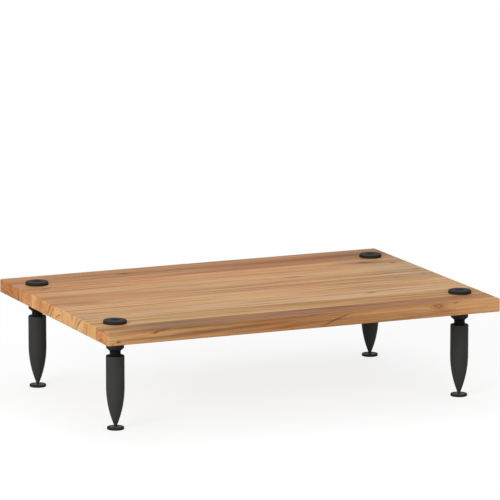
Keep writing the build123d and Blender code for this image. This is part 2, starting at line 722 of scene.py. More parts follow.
def year_rings(sheet: Sheet, place: Socket, radial: Socket) -> tuple[Socket, Socket]:
    """Draws yearly rings of uneven width and strength.

    Args:
        sheet: The wood's node tree.
        place: Seeded place in the trunk.
        radial: Distance from the trunk's axis.

    Returns:
        The share of late wood, and the early part of each ring, where pores stand open.
    """
    given = sheet.given
    years = sheet.math("DIVIDE", radial, given["Ring Width"])
    slow = sheet.node("ShaderNodeTexNoise", noise_dimensions="1D")
    sheet.join(sheet.math("ADD", years, given["Seed"]), slow.inputs["W"])
    sheet.join(RING_DRIFT_RATE, slow.inputs["Scale"])
    years = sheet.math("MULTIPLY_ADD", slow.outputs["Fac"], RING_DRIFT, years)
    season = sheet.math("FRACT", years)
    mood = sheet.node("ShaderNodeTexWhiteNoise", noise_dimensions="1D")
    sheet.join(sheet.math("ADD", sheet.math("FLOOR", years), given["Seed"]), mood.inputs["W"])
    strength = sheet.fit(mood.outputs["Value"], 0, 1, PALEST_YEAR, 1)
    ring = sheet.math("MULTIPLY", sheet.ramp(season, SEASON_STOPS), strength)
    fade = sheet.fit(sheet.noise(place, FADE_GRAIN).outputs["Fac"], *FADE_BAND)
    contrast = sheet.math("MULTIPLY_ADD", given["End Grain"], END_CONTRAST, 1.0)
    contrast = sheet.math("MULTIPLY", contrast, given["Contrast"])
    late = sheet.math("MULTIPLY", sheet.math("MULTIPLY", ring, fade), contrast, clamp=True)
    return late, sheet.fit(season, EARLY_WOOD_END, 0.0)


def solid_timber() -> bpy.types.NodeTree:
    """Builds the group that grows wood through a piece, read along the trunk's own X axis.

    Growth rings are drawn round the trunk's axis, which wanders, and fibres, pores and rays
    lie along and across it, so the end grain and the long faces of one piece belong together.

    Returns:
        The node group, with a colour, a roughness and a height.
    """
    sheet = Sheet.of_group(
        "solid_timber",
        {
            "Vector": None,
            "Early Wood": (0.6, 0.4, 0.25),
            "Late Wood": (0.35, 0.18, 0.09),
            "Patch": (0.75, 0.6, 0.5),
            "Ring Width": 0.003,
            "Bend": 0.01,
            "Contrast": 0.6,
            "Swirl": 0.0,
            "Seed": 0.0,
            "End Grain": 0.0,
        },
        {"Color": "NodeSocketColor", "Roughness": "NodeSocketFloat", "Height": "NodeSocketFloat"},
    )
    given = sheet.given
    shift = sheet.node("ShaderNodeCombineXYZ", given["Seed"], given["Seed"], given["Seed"])
    place = sheet.vector("ADD", given["Vector"], shift.outputs["Vector"])
    bent = bent_place(sheet, place)
    across, up = bent.outputs["Y"], bent.outputs["Z"]
    square = sheet.math("ADD", sheet.math("MULTIPLY", across, across), sheet.math("MULTIPLY", up, up))
    radial = sheet.math("ADD", sheet.math("SQRT", square), given["Swirl"])
    late, early_zone = year_rings(sheet, place, radial)

    patch = sheet.noise(place, PATCH_GRAIN).outputs["Fac"]
    streak = sheet.noise(place, STREAK_GRAIN, **RAGGED).outputs["Fac"]
    mineral = sheet.noise(place, MINERAL_GRAIN).outputs["Fac"]
    fibre = sheet.noise(place, FIBRE_GRAIN).outputs["Fac"]
    pore = sheet.noise(place, PORE_GRAIN, detail=1).outputs["Fac"]
    angle = sheet.math("ARCTAN2", up, across)
    ray_place = sheet.node("ShaderNodeCombineXYZ", bent.outputs["X"], radial, angle)
    ray = sheet.noise(ray_place.outputs["Vector"], RAY_GRAIN, detail=1).outputs["Fac"]

    long_face = sheet.math("MULTIPLY_ADD", given["End Grain"], END_CALM, 1.0)
    open_pore = sheet.math("MULTIPLY", sheet.fit(pore, *OPEN_PORE_BAND), early_zone)
    pores = sheet.math("MAXIMUM", open_pore, sheet.fit(pore, *CLOSED_PORE_BAND))
    layers = (
        (sheet.fit(patch, *PATCH_BAND), given["Patch"]),
        (sheet.math("MULTIPLY", DARK_STREAK.over(sheet, streak), long_face), DARK_STREAK.tint),
        (PALE_STREAK.over(sheet, streak), PALE_STREAK.tint),
        (STAIN.over(sheet, mineral), STAIN.tint),
        (sheet.math("MULTIPLY", FIBRE.over(sheet, fibre), long_face), FIBRE.tint),
        (sheet.math("MULTIPLY", pores, PORE_SHARE), PORE_TINT),
        (RAY.over(sheet, ray), RAY.tint),
    )
    colour = sheet.mix(late, given["Early Wood"], given["Late Wood"])
    for share, tint in layers:
        colour = sheet.mix(share, colour, tint, "MULTIPLY")
    sheet.join(colour, sheet.result["Color"])

    rough = sheet.fit(streak, *STREAK_ROUGHNESS)
    rough = sheet.math("MULTIPLY_ADD", pores, PORE_ROUGHNESS, rough)
    rough = sheet.math("MULTIPLY_ADD", given["End Grain"], END_ROUGHNESS, rough)
    sheet.join(rough, sheet.result["Roughness"])
    height = sheet.math("MULTIPLY", fibre, FIBRE_RISE)
    height = sheet.math("MULTIPLY_ADD", pores, PORE_RISE, height)
    height = sheet.math("MULTIPLY_ADD", late, LATE_WOOD_RISE, height)
    sheet.join(height, sheet.result["Height"])
    return sheet.tree


# Ragged edge of a mark: waves over its reach, their size, and where its mask is full
MARK_WAVES = (0.9, 2.6, 2.6)
MARK_WOBBLE = 0.9
MARK_CORE = 0.2

# How fast the swell of the rings falls with the square of the distance from a mark
SWELL_FALL = -1.6


def timber_mark() -> bpy.types.NodeTree:
    """Builds the group that masks a knot, streak, cloud or patch of painted shade or light inside a
    piece.

    Returns:
        The node group. Its mask has a ragged edge that follows the grain, and its swell is
        a smooth hill that rings can bend round.
    """
    sheet = Sheet.of_group(
        "timber_mark",
        {"Vector": None, "Strength": 1.0, "Swirl": 0.0},
        {"Mask": "NodeSocketFloat", "Swell": "NodeSocketFloat"},
    )
    given = sheet.given
    grain = sheet.noise(given["Vector"], MARK_WAVES, detail=3).outputs["Color"]
    wobble = sheet.vector("SCALE", sheet.vector("SUBTRACT", grain, MIDDLE_GREY), MARK_WOBBLE)
    reach = sheet.vector("LENGTH", sheet.vector("ADD", given["Vector"], wobble))
    mask = sheet.fit(reach, 1.0, MARK_CORE)
    sheet.join(sheet.math("MULTIPLY", mask, given["Strength"]), sheet.result["Mask"])
    distance = sheet.vector("LENGTH", given["Vector"])
    fall = sheet.math("MULTIPLY", sheet.math("MULTIPLY", distance, distance), SWELL_FALL)
    hill = sheet.math("EXPONENT", fall)
    sheet.join(sheet.math("MULTIPLY", hill, given["Swirl"]), sheet.result["Swell"])
    return sheet.tree


# Grains per metre of a lathe tool's rings and of the uneven sheen, and the coarse rings' share
FINE_RINGS = (9000, 9000, 1)
COARSE_RINGS = (1500, 1500, 1)
COARSE_SHARE = 0.5
SHEEN_GRAIN = (60, 60, 35)


def turning_marks() -> bpy.types.NodeTree:
    """Builds the group that draws the fine rings that a lathe tool leaves.

    All corners share it: places are folded into one corner before the distance from the
    turned piece's axis is taken.

    Returns:
        The node group, with masks of the rings, of slow uneven sheen and of a zone about
        the axis, where a material paints shade or a highlight.
    """
    sheet = Sheet.of_group(
        "turning_marks",
        {
            "Vector": None,
            "Axis": Vector((0, 0, 0)),
            "Zone Radius": 0.0,
            "Zone Bottom": 0.0,
            "Zone Top": 0.0,
        },
        {"Rings": "NodeSocketFloat", "Cloud": "NodeSocketFloat", "Zone": "NodeSocketFloat"},
    )
    folded = sheet.vector("ABSOLUTE", sheet.given["Vector"])
    place = sheet.node("ShaderNodeSeparateXYZ", sheet.vector("SUBTRACT", folded, sheet.given["Axis"]))
    flat = sheet.node("ShaderNodeCombineXYZ", place.outputs["X"], place.outputs["Y"])
    reach = sheet.vector("LENGTH", flat.outputs["Vector"])
    tool = sheet.node("ShaderNodeCombineXYZ", reach, place.outputs["Z"])
    fine = sheet.noise(tool.outputs["Vector"], FINE_RINGS).outputs["Fac"]
    coarse = sheet.noise(tool.outputs["Vector"], COARSE_RINGS, detail=1).outputs["Fac"]
    sheet.join(sheet.math("MULTIPLY_ADD", coarse, COARSE_SHARE, fine), sheet.result["Rings"])
    cloud = sheet.noise(sheet.given["Vector"], SHEEN_GRAIN, **RAGGED)
    sheet.join(cloud.outputs["Fac"], sheet.result["Cloud"])
    inside = sheet.math("LESS_THAN", reach, sheet.given["Zone Radius"])
    below = sheet.math("LESS_THAN", place.outputs["Z"], sheet.given["Zone Top"])
    above = sheet.math("GREATER_THAN", place.outputs["Z"], sheet.given["Zone Bottom"])
    within = sheet.math("MULTIPLY", sheet.math("MULTIPLY", below, above), inside)
    sheet.join(within, sheet.result["Zone"])
    return sheet.tree


# Tints of knots, streaks and clouds, which multiply the wood's colour, and of painted shade and
# painted light on the front stave
KNOT = srgb(104, 60, 32)
RESIN = srgb(150, 96, 56)
# Painted shade darkening the middle of the front face
PAINTED_MIDDLE_SHADE = srgb(215, 204, 192)
RED_STREAK = srgb(206, 160, 134)
# Painted shadow darkening the front stave's top along most of its length
TOP_SHADE = srgb(226, 221, 214)
# Painted light lightening the right end of the front face
PAINTED_RIGHT_LIGHT = (1.24, 1.3, 1.36)
EMBER = (1.15, 0.98, 0.8)
SLATE = srgb(206, 210, 214)
COOL = (0.84, 0.95, 1.12)
# Painted shadow darkening the front stave's top at its left end
SHADE = (0.66, 0.67, 0.6)
# Painted shadow, warmer, darkening the front stave's top towards its right end
PAINTED_AMBER_SHADE = (0.84, 0.76, 0.62)
# Painted light lightening the left part and the left end of the front face
GLOW = (1.04, 1.13, 1.22)


@dataclass(frozen=True)
class Mark:
    """A knot, streak or cloud in one stave, or a patch of painted shade or painted light.

    Attributes:
        place: Its middle in the frame, in millimetres.
        reach: How far it goes from there along X, Y and Z, in millimetres.
        tilt: Turn about Y in degrees, which lifts its right end.
        skew: Turn about Z in degrees, which swings its right end to the back.
        tint: What multiplies the wood's colour there.
        strength: How much of the tint is used, from 0 to 1.
        swirl: How far rings bulge round it, in millimetres.
    """

    place: Colour
    reach: Colour
    tilt: float = 0.0
    skew: float = 0.0
    tint: Colour = KNOT
    strength: float = 1.0
    swirl: float = 0.0


@dataclass(frozen=True)
class StaveLook:
    """How one stave was cut from its trunk, and its colours.

    Attributes:
        early: Colour of the pale part of each ring.
        late: Colour of the dark part of each ring.
        patch: Tint of its broad darker patches.
        pith: Place of the trunk's axis across and above the stave's middle, in millimetres.
        lean: Turn of the trunk's axis up and to the back, in degrees.
        ring: Width of a yearly ring in millimetres.
        bend: How far the trunk's axis wanders, in millimetres.
        contrast: How much the rings show, from 0 to 1.
        end_tint: What multiplies the colour on the end grain.
        marks: Knots, streaks and clouds, and patches of painted shade and painted light.
    """

    early: Colour
    late: Colour
    patch: Colour
    pith: Point
    lean: Point
    ring: float
    bend: float
    contrast: float
    end_tint: Colour
    marks: tuple[Mark, ...] = ()


# Early and late wood of the staves, their darker patches, and the tints of their ends
TAN = srgb(210, 164, 114)
ORANGE = srgb(208, 154, 102)
PEACH = srgb(210, 170, 124)
STRAW = srgb(208, 168, 112)
RUSSET = srgb(194, 142, 92)
HONEY = srgb(204, 154, 104)
RUST = srgb(138, 84, 46)
BROWN = srgb(134, 92, 54)
UMBER = srgb(108, 68, 40)
WARM_PATCH = srgb(228, 206, 182)
RED_PATCH = srgb(222, 196, 172)
CLEAR_END = (1.12, 1.08, 0.98)
PALE_END = (1.22, 1.24, 1.26)
RICH_END = (1.0, 0.92, 0.84)
ORANGE_END = (1.16, 1.1, 0.98)
DARK_END = srgb(250, 230, 206)

COOL_END = Mark((300, 80, 150), (130, 260, 14), tint=COOL)
GLUE_STAIN = (
    Mark((-300, 134, 140), (7, 2.2, 18), tint=RESIN),
    Mark((-300, 134, 132), (8, 3.4, 3.5)),
)
STAVE_LOOKS = (
    StaveLook(
        RUSSET, UMBER, RED_PATCH, (34, -30), (0.5, 0.4), 5.6, 12, 0.8, DARK_END,
        (*GLUE_STAIN, COOL_END, Mark((-120, 176, 150), (16, 5, 8), strength=0.8, swirl=5)),
    ),
    StaveLook(
        ORANGE, RUST, WARM_PATCH, (-60, 6), (0.2, -0.9), 4.6, 8, 0.8, RICH_END,
        (
            *GLUE_STAIN,
            COOL_END,
            Mark((-266, 114, 150), (26, 3.4, 6), skew=42, strength=0.5),
            Mark((236, 112, 150), (15, 4.5, 8), skew=-8, strength=0.9, swirl=9),
            Mark((236, 112, 150), (60, 14, 14), skew=-8, tint=RESIN, strength=0.45),
            Mark((276, 96, 150), (9, 5, 8), skew=-30, tint=RESIN, strength=0.9, swirl=6),
        ),
    ),
    StaveLook(
        TAN, BROWN, WARM_PATCH, (80, -36), (0.3, 0.5), 5.0, 10, 0.75, PALE_END,
        (
            COOL_END,
            Mark((287, 37, 150), (12, 2.4, 3)),
            Mark((96, 52, 150), (24, 5, 8), tint=RESIN, strength=0.7, swirl=5),
        ),
    ),
    StaveLook(
        TAN, RUST, WARM_PATCH, (-40, -40), (0.5, -0.4), 5.4, 11, 0.9, ORANGE_END,
        (
            COOL_END,
            Mark((-250, -4, 150), (50, 14, 14), tint=RED_STREAK, strength=0.6),
            Mark((281, 2, 150), (6, 2, 3)),
            Mark((233, -9, 150), (11, 2.2, 3)),
        ),
    ),
    StaveLook(
        TAN, BROWN, WARM_PATCH, (46, -56), (-0.3, 0.5), 5.0, 10, 0.75, CLEAR_END,
        (Mark((-284, -76, 150), (60, 10, 10), tint=SLATE, strength=0.7),),
    ),
    StaveLook(
        PEACH, BROWN, WARM_PATCH, (-30, -34), (0.4, 0.6), 5.2, 9, 0.75, CLEAR_END,
        (Mark((150, -98, 150), (13, 4, 7), strength=0.8, swirl=4),),
    ),
    StaveLook(STRAW, BROWN, WARM_PATCH, (56, 6), (0.1, -0.5), 4.8, 6, 0.9, CLEAR_END),
    StaveLook(
        HONEY, RUST, WARM_PATCH, (2, -22), (1.6, 0.8), 4.6, 12, 0.9, DARK_END,
        (
            Mark((-229, -210, 145), (6, 6, 2.2), tilt=10, tint=RESIN, strength=0.6, swirl=3),
            Mark((-222, -210, 147), (24, 7, 2.0), tilt=9, tint=RESIN, strength=0.6),
            Mark((-292, -210, 133), (3, 4, 1.8), tint=RESIN, strength=0.5),
            Mark((-284, -210, 136), (5.5, 4, 2.8), tint=RESIN, strength=0.6),
            Mark((-284, -210, 136), (2.2, 4, 1.4), strength=0.4),
            Mark((110, -176, 150), (120, 3.2, 5), skew=4.5, tint=RED_STREAK),
            Mark((70, -172, 150), (26, 2.4, 4), skew=6, tint=RESIN),
            Mark((228, -208, 149), (9, 3, 1.6), tilt=12, tint=RESIN),
            Mark((44, -210, 141), (34, 8, 2.2), tilt=19, tint=RESIN, strength=0.6),
            Mark((205, -210, 144), (22, 12, 8), tilt=-10, tint=RESIN, strength=0.3, swirl=6),
            Mark((-45, -210, 136), (50, 10, 5), tint=EMBER, strength=0.9),
            # Painted shade darkening the middle of the front face
            Mark((-20, -200, 140), (300, 60, 60), tint=PAINTED_MIDDLE_SHADE),
            # Painted shadow on the front stave's top, in three patches
            Mark((-120, -188, 151), (420, 60, 7), tint=TOP_SHADE),
            Mark((-200, -200, 151), (110, 60, 8), tint=SHADE),
            Mark((165, -198, 151), (150, 50, 8), tint=PAINTED_AMBER_SHADE),
            # Painted light lightening the front face towards both of its ends
            Mark((-170, -210, 140), (150, 9, 14), tint=GLOW, strength=0.9),
            Mark((-298, -210, 142), (26, 30, 16), tint=GLOW),
            Mark((296, -210, 142), (85, 30, 16), tint=PAINTED_RIGHT_LIGHT),
        ),
    ),
)


@dataclass
class OiledTimber:
    """Satin oiled wood finish, grown separately through each stave.

    Attributes:
        timber: Node group that grows the wood.
        mark: Node group that masks knots, streaks, clouds and patches of painted shade and light.
        grain_depth: Depth of the open grain.
        grain_lift: How strongly it lifts the surface.
        specular: Specular level of the oil.
        seed_step: Distance between the seeds of neighbouring staves.
        end_facing: How far a face points along the board before, and once, it is end grain.
    """

    timber: bpy.types.NodeTree
    mark: bpy.types.NodeTree
    grain_depth: float = 0.12 * MM
    grain_lift: float = 0.5
    specular: float = 0.16
    seed_step: float = 3.7
    end_facing: Point = (0.35, 0.85)

    def material(self, number: int, look: StaveLook, box: NodeBox) -> bpy.types.Material:
        """Makes the material of one stave.

        Args:
            number: Number of the stave from the back, which also seeds its grain.
            look: Cut and colours of the stave.
            box: Place of the stave.

        Returns:
            The new material.
        """
        sheet, material, shader = Sheet.of_material(f"oiled_stave_{number}")
        place = sheet.node("ShaderNodeTexCoord").outputs["Object"]
        trunk = sheet.node("ShaderNodeMapping", place, vector_type="TEXTURE")
        across, above = look.pith
        pith = (0, box.centre.y + across * MM, box.centre.z + above * MM)
        sheet.join(pith, trunk.inputs["Location"])
        up, back = look.lean
        sheet.join((0, -math.radians(up), math.radians(back)), trunk.inputs["Rotation"])

        marks = [self.placed(sheet, mark, place) for mark in look.marks]
        swirl = 0.0
        for node, mark in zip(marks, look.marks):
            if mark.swirl:
                swirl = sheet.math("ADD", node.outputs["Swell"], swirl)

        normal = sheet.node("ShaderNodeNewGeometry").outputs["Normal"]
        facing = sheet.node("ShaderNodeSeparateXYZ", sheet.vector("ABSOLUTE", normal))
        end = sheet.fit(facing.outputs["X"], *self.end_facing)
        wood = sheet.place(
            self.timber,
            vector=trunk.outputs["Vector"],
            early_wood=look.early,
            late_wood=look.late,
            patch=look.patch,
            ring_width=look.ring * MM,
            bend=look.bend * MM,
            contrast=look.contrast,
            swirl=swirl,
            seed=number * self.seed_step,
            end_grain=end,
        )
        colour = sheet.mix(end, wood.outputs["Color"], look.end_tint, "MULTIPLY")
        for node, mark in zip(marks, look.marks):
            colour = sheet.mix(node.outputs["Mask"], colour, mark.tint, "MULTIPLY")
        bump = sheet.node("ShaderNodeBump", self.grain_lift, self.grain_depth)
        sheet.join(wood.outputs["Height"], bump.inputs["Height"])
        sheet.join(colour, shader.inputs["Base Color"])
        sheet.join(wood.outputs["Roughness"], shader.inputs["Roughness"])
        sheet.join(bump.outputs["Normal"], shader.inputs["Normal"])
        sheet.join(self.specular, shader.inputs["Specular IOR Level"])
        return material

    def placed(self, sheet: Sheet, mark: Mark, place: Socket) -> bpy.types.Node:
        """Places one mark's mask and swell.

        Args:
            sheet: The material's node tree.
            mark: The knot, streak, cloud or patch of painted shade or light.
            place: Object coordinates.

        Returns:
            The group node with both outputs.
        """
        spot = sheet.node("ShaderNodeMapping", place, vector_type="TEXTURE")
        sheet.join(tuple(value * MM for value in mark.place), spot.inputs["Location"])
        turn = (0, -math.radians(mark.tilt), math.radians(mark.skew))
        sheet.join(turn, spot.inputs["Rotation"])
        sheet.join(tuple(value * MM for value in mark.reach), spot.inputs["Scale"])
        return sheet.place(
            self.mark, vector=spot.outputs["Vector"], strength=mark.strength, swirl=mark.swirl * MM
        )


@dataclass(frozen=True)
class Zone:
    """A stretch of a turned piece, close to its axis, that has a colour of its own: painted shade or
    a painted highlight.

    Attributes:
        colour: Base colour there.
        radius: How far it goes from the axis.
        bottom: Height of its lower end.
        top: Height of its upper end.
    """

    colour: Colour
    radius: float
    bottom: float
    top: float


# Middle of the mask of the tool's rings, and how much they roughen and lift the surface
RING_MIDDLE = 0.75
RING_ROUGHNESS = 0.08
RING_LIFT = 0.4

# Levels of the sheen between which the finish looks worn, and between which it turns rougher
WORN_BAND = (0.45, 0.7, 0, 0.5)
SHEEN_BAND = (0.3, 0.7)
SMOOTHER = 0.04
ROUGHER = 0.05


@dataclass(frozen=True)
class TurnedMetal:
    """Dark finish on lathe-turned metal, with the tool's fine rings under it.

    Attributes:
        name: Name of the material.
        marks: Node group that draws the tool's rings.
        colour: Base colour.
        worn: Colour where the finish is thin.
        zone: Stretch with a colour of its own, for painted shade or a painted highlight.
        roughness: Middle roughness.
        metallic: How metallic the surface is.
        specular: Specular level.
        depth: Depth of the tool's rings.
    """

    name: str
    marks: bpy.types.NodeTree
    colour: Colour
    worn: Colour
    zone: Zone
    roughness: float = 0.65
    metallic: float = 0.0
    specular: float = 0.1
    depth: float = 0.02 * MM

    def material(self, axis: Vector) -> bpy.types.Material:
        """Makes the material.

        Args:
            axis: Place of one leg's axis on the floor.

        Returns:
            The new material.
        """
        sheet, material, shader = Sheet.of_material(self.name)
        marks = sheet.place(
            self.marks,
            vector=sheet.node("ShaderNodeTexCoord").outputs["Object"],
            axis=Vector((abs(axis.x), abs(axis.y), 0)),
            zone_radius=self.zone.radius,
            zone_bottom=self.zone.bottom,
            zone_top=self.zone.top,
        )
        rings, cloud = marks.outputs["Rings"], marks.outputs["Cloud"]
        colour = sheet.mix(sheet.fit(cloud, *WORN_BAND), self.colour, self.worn)
        # The zone's colour is painted shade or a painted highlight
        colour = sheet.mix(marks.outputs["Zone"], colour, self.zone.colour)
        smooth, rough = self.roughness - SMOOTHER, self.roughness + ROUGHER
        rough = sheet.fit(cloud, *SHEEN_BAND, smooth, rough)
        swing = sheet.math("SUBTRACT", rings, RING_MIDDLE)
        rough = sheet.math("MULTIPLY_ADD", swing, RING_ROUGHNESS, rough)
        bump = sheet.node("ShaderNodeBump", RING_LIFT, self.depth)
        sheet.join(rings, bump.inputs["Height"])
        sheet.join(colour, shader.inputs["Base Color"])
        sheet.join(rough, shader.inputs["Roughness"])
        sheet.join(bump.outputs["Normal"], shader.inputs["Normal"])
        sheet.join(self.metallic, shader.inputs["Metallic"])
        sheet.join(self.specular, shader.inputs["Specular IOR Level"])
        return material


@dataclass
class Board:
    """The glued board: eight staves, eased all round, with a bore at each corner.

    Attributes:
        finish: The oiled finish.
        corner_radius: Rounding of the board's upright corners.
        edge_radius: Easing of its top and bottom edges.
        boss_radius: Radius of the boss in a bore.
        bore_clearance: Room round the boss.
        corner_steps: Facets of an upright corner's rounding.
        edge_steps: Facets of an edge's easing.
    """

    finish: OiledTimber
    corner_radius: float = 3.0 * MM
    edge_radius: float = 1.5 * MM
    boss_radius: float = 7.0 * MM
    bore_clearance: float = 0.2 * MM
    corner_steps: int = 8
    edge_steps: int = 5

    def build(self) -> None:
        """Models, dresses and places every stave."""
        boxes = [NodeBox.of(f"board_stave_{n}") for n in range(1, len(STAVE_LOOKS) + 1)]
        self.back = boxes[0].high.y
        self.front = boxes[-1].low.y
        self.end = boxes[0].high.x
        for number, (box, look) in enumerate(zip(boxes, STAVE_LOOKS), start=1):
            piece = self.stave(f"oiled_stave_{number}", box)
            piece.data.materials.append(self.finish.material(number, look, box))
            add_piece(piece, Body.BOARD.value, Slot.WOOD, f"board_stave_{number}")

    def stave(self, name: str, box: NodeBox) -> bpy.types.Object:
        """Models one stave.

        Args:
            name: Name of the piece.
            box: Place of the stave.

        Returns:
            The stave's object.
        """
        piece = Bench.block(name, box.low, box.high)
        upright = self.on_outer_corner
        if any(self.outer(y) for y in (box.low.y, box.high.y)):
            Bench.ease(piece, upright, self.corner_radius, self.corner_steps)
        Bench.ease(piece, self.on_rim(box), self.edge_radius, self.edge_steps)
        for corner in Corner:
            axis = NodeBox.of(f"leg_{corner.value}").axis
            if box.low.y < axis.y < box.high.y:
                Bench.combine(piece, self.bore(axis, box), "DIFFERENCE")
        Bench.smooth(piece)
        return piece

    def outer(self, y: float) -> bool:
        """Whether a place across the board is its front or back face."""
        return min(abs(y - self.back), abs(y - self.front)) < TOUCH

    def on_outer_corner(self, first: Vector, second: Vector) -> bool:
        """Whether an edge is one of the board's upright corners."""
        upright = abs(first.z - second.z) > TOUCH
        return upright and self.outer(first.y) and abs(abs(first.x) - self.end) < TOUCH

    def on_rim(self, box: NodeBox) -> Callable[[Vector, Vector], bool]:
        """Gives the test of whether an edge of a stave lies on the board's top or bottom rim.

        Args:
            box: Place of the stave.

        Returns:
            The test of an edge's two end points.
        """
        joints = [y for y in (box.low.y, box.high.y) if not self.outer(y)]

        def wanted(first: Vector, second: Vector) -> bool:
            """Tests whether an edge is level, at the top or bottom, and not on a glue line.

            Args:
                first: One end of the edge.
                second: Its other end.

            Returns:
                Whether it lies on the rim.
            """
            level = abs(first.z - second.z) < TOUCH
            at_rim = min(abs(first.z - box.top), abs(first.z - box.bottom)) < TOUCH
            glued = any(abs(first.y - y) + abs(second.y - y) < TOUCH for y in joints)
            return level and at_rim and not glued

        return wanted

    def bore(self, axis: Vector, box: NodeBox) -> bpy.types.Object:
        """Makes the cutting tool for the bore at one corner.

        Args:
            axis: Place of the leg's axis.
            box: Place of the stave.

        Returns:
            A round bar longer than the stave is thick.
        """
        radius = self.boss_radius + self.bore_clearance
        reach = self.boss_radius
        low, high = box.bottom - reach, box.top + reach
        outline = Outline().to((0, low), (radius, low), (radius, high), (0, high))
        bar = Bench.turn("bore", outline)
        Bench.edit(bar, lambda: bpy.ops.transform.translate(value=axis))
        return bar


@dataclass
class CornerHardware:
    """The turned metal pieces of one corner, modelled once and copied to each corner.

    Attributes:
        finishes: Material of each kind of piece.
        arc_steps: Facets of a small rounding.
        thread_half_angle: Slope of a thread's flank, in degrees.
        thread_lead_in: Turns of thread past each end, which are cut off level.
        thread_steps: Facets of one turn of thread.
    """

    finishes: dict[str, bpy.types.Material]
    arc_steps: int = 8
    thread_half_angle: float = 30.0
    thread_lead_in: float = 2.37
    thread_steps: int = 64

    # Disc on the board
    disc_rim: float = 1.3 * MM
    dish_radius: float = 7.0 * MM
    dish_depth: float = 1.6 * MM
    dish_edge: float = 0.35 * MM
    dish_edge_angle: float = 2.0
    dish_steps: int = 12
    boss_radius: float = 7.0 * MM
    boss_hole_radius: float = 4.05 * MM
    boss_hole_depth: float = 11.0 * MM
    disc_thickness: float = 4.5 * MM

    # Collar and its threaded neck
    collar_taper: float = 3.8 * MM
    collar_length: float = 19.7 * MM
    collar_round: float = 1.2 * MM
    collar_chamfer: float = 0.4 * MM
    neck_radius: float = 8.0 * MM
    neck_run_in: float = 0.5 * MM
    neck_pitch: float = 2.0 * MM
    neck_chamfer: float = 0.8 * MM
    neck_depth: float = 0.8 * MM
    stud_hole_depth: float = 11.5 * MM
    neck_key: float = 8.0 * MM
    neck_key_depth: float = 8.0 * MM

    # Clamp stud
    stud_pitch: float = 1.25 * MM
    stud_depth: float = 0.7 * MM
    stud_chamfer: float = 0.8 * MM
    stud_key: float = 4.0 * MM
    stud_key_depth: float = 4.0 * MM

    # Leg
    leg_shoulder: float = 1.0 * MM
    leg_bore_radius: float = 8.05 * MM
    leg_bore_chamfer: float = 0.6 * MM
    leg_bore_depth: float = 31.0 * MM
    leg_bore_cone: float = 3.0 * MM
    nose_length: float = 59.0 * MM
    nose_steps: int = 36
    point_radius: float = 0.6 * MM
    point_steps: int = 5

    # Disc on the floor
    floor_rim: float = 0.8 * MM
    floor_dimple_radius: float = 4.5 * MM
    floor_dimple_depth: float = 2.3 * MM
    floor_foot_chamfer: float = 0.25 * MM
    floor_recess_radius: float = 9.2 * MM
    floor_recess_depth: float = 0.4 * MM

    def build(self) -> None:
        """Models each kind of piece once and copies it to all corners."""
        kinds = (
            ("top_disc", self.top_disc, Slot.METAL, Body.BOARD),
            ("clamp_stud", self.clamp_stud, Slot.STEEL, Body.BOARD),
            ("collar", self.collar, Slot.METAL, Body.BOARD),
            ("leg", self.leg, Slot.METAL, Body.LEG),
            ("floor_disc", self.floor_disc, Slot.METAL, Body.FLOOR_DISC),
        )
        for kind, model, slot, body in kinds:
            master = model(NodeBox.of(f"{kind}_{Corner.FRONT_LEFT.value}"))
            Bench.smooth(master)
            master.data.materials.append(self.finishes[kind])
            for corner in Corner:
                node = f"{kind}_{corner.value}"
                piece = Bench.copy_to(master, f"finished_{node}", NodeBox.of(node).axis)
                add_piece(piece, body.at(corner), slot, node)
            bpy.data.objects.remove(master)

    def top_disc(self, box: NodeBox) -> bpy.types.Object:
        """Models the dished disc with its boss.

        Args:
            box: Place of the disc at one corner.

        Returns:
            The disc, about the Z axis.
        """
        top, radius = box.top, box.radius
        seat = top - self.disc_thickness
        rim, lip = self.disc_rim, self.dish_edge
        hole_top = box.bottom + self.boss_hole_depth
        ball = (self.dish_radius**2 + self.dish_depth**2) / (2 * self.dish_depth)
        half = math.degrees(math.asin(self.dish_radius / ball))
        outline = Outline()
        dish_end = -90 + half - self.dish_edge_angle
        outline.arc((0, top - self.dish_depth + ball), ball, -90, dish_end, self.dish_steps)
        outline.to((self.dish_radius + lip, top), (radius - 1.5 * rim, top))
        outline.arc((radius - rim, top - rim), rim, 90, 0, self.arc_steps)
        outline.to((radius, seat + lip), (radius - lip, seat), (self.boss_radius, seat))
        outline.to((self.boss_radius, box.bottom + lip), (self.boss_radius - lip, box.bottom))
        outline.to((self.boss_hole_radius, box.bottom), (self.boss_hole_radius, hole_top))
        outline.to((0, hole_top))
        return Bench.turn("top_disc", outline)

    def thread(
        self, radius: float, pitch: float, depth: float, low: float, high: float
    ) -> bpy.types.Object:
        """Models a bar with a helical thread, cut level at both ends.

        Args:
            radius: Outer radius of the thread.
            pitch: Distance from one turn to the next.
            depth: Depth of the thread.
            low: Height of the lower end.
            high: Height of the upper end.

        Returns:
            The threaded bar, about the Z axis.
        """
        root = radius - depth
        start = low - self.thread_lead_in * pitch
        flank = depth * math.tan(math.radians(self.thread_half_angle))
        flat = (pitch - 2 * flank) / 2
        tooth = [
            (root, start),
            (root, start + flat),
            (radius, start + flat + flank),
            (radius, start + flat + flank + flat),
            (root, start + pitch),
        ]
        bar = Bench.chain("thread", tooth)
        Bench.activate(bar)
        screw = bar.modifiers.new("helix", "SCREW")
        screw.axis = "Z"
        screw.screw_offset = pitch
        screw.iterations = math.ceil((high - low) / pitch + 2 * self.thread_lead_in)
        screw.steps = screw.render_steps = self.thread_steps
        screw.use_merge_vertices = True
        screw.merge_threshold = TOUCH / 4
        bpy.ops.object.modifier_apply(modifier=screw.name)
        Bench.edit(
            bar,
            lambda: bpy.ops.mesh.remove_doubles(threshold=TOUCH / 4),
            lambda: bpy.ops.mesh.normals_make_consistent(inside=False),
        )
        Bench.trim(bar, low, keep_above=True)
        Bench.trim(bar, high, keep_above=False)
        return bar

